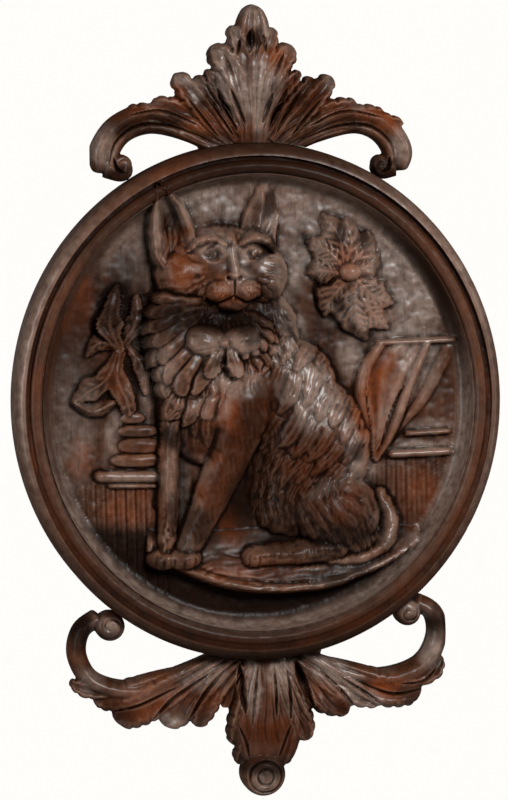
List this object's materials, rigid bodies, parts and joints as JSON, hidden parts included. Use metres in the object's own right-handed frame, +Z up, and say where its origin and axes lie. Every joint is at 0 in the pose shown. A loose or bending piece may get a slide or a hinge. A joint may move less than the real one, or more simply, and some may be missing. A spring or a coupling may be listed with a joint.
{
  "type": "relief plaque",
  "caption": "Oval carved walnut wall plaque: a seated cat in high relief inside a moulded rim, with a leaf crest above and a leaf drop with curled stems below.",
  "frame": {"origin": "middle of the roundel's flat back, where it rests against the wall", "axes": "+Z up, +X to the right as seen from the front, +Y into the wall"},
  "size_m": [0.3, 0.043, 0.4875],
  "materials": {
    "walnut": "dark waxed walnut, worn pale on the edges"
  },
  "bodies": {
    "root": {"roundel": "walnut", "crest": "walnut", "drop": "walnut"}
  },
  "joints": []
}
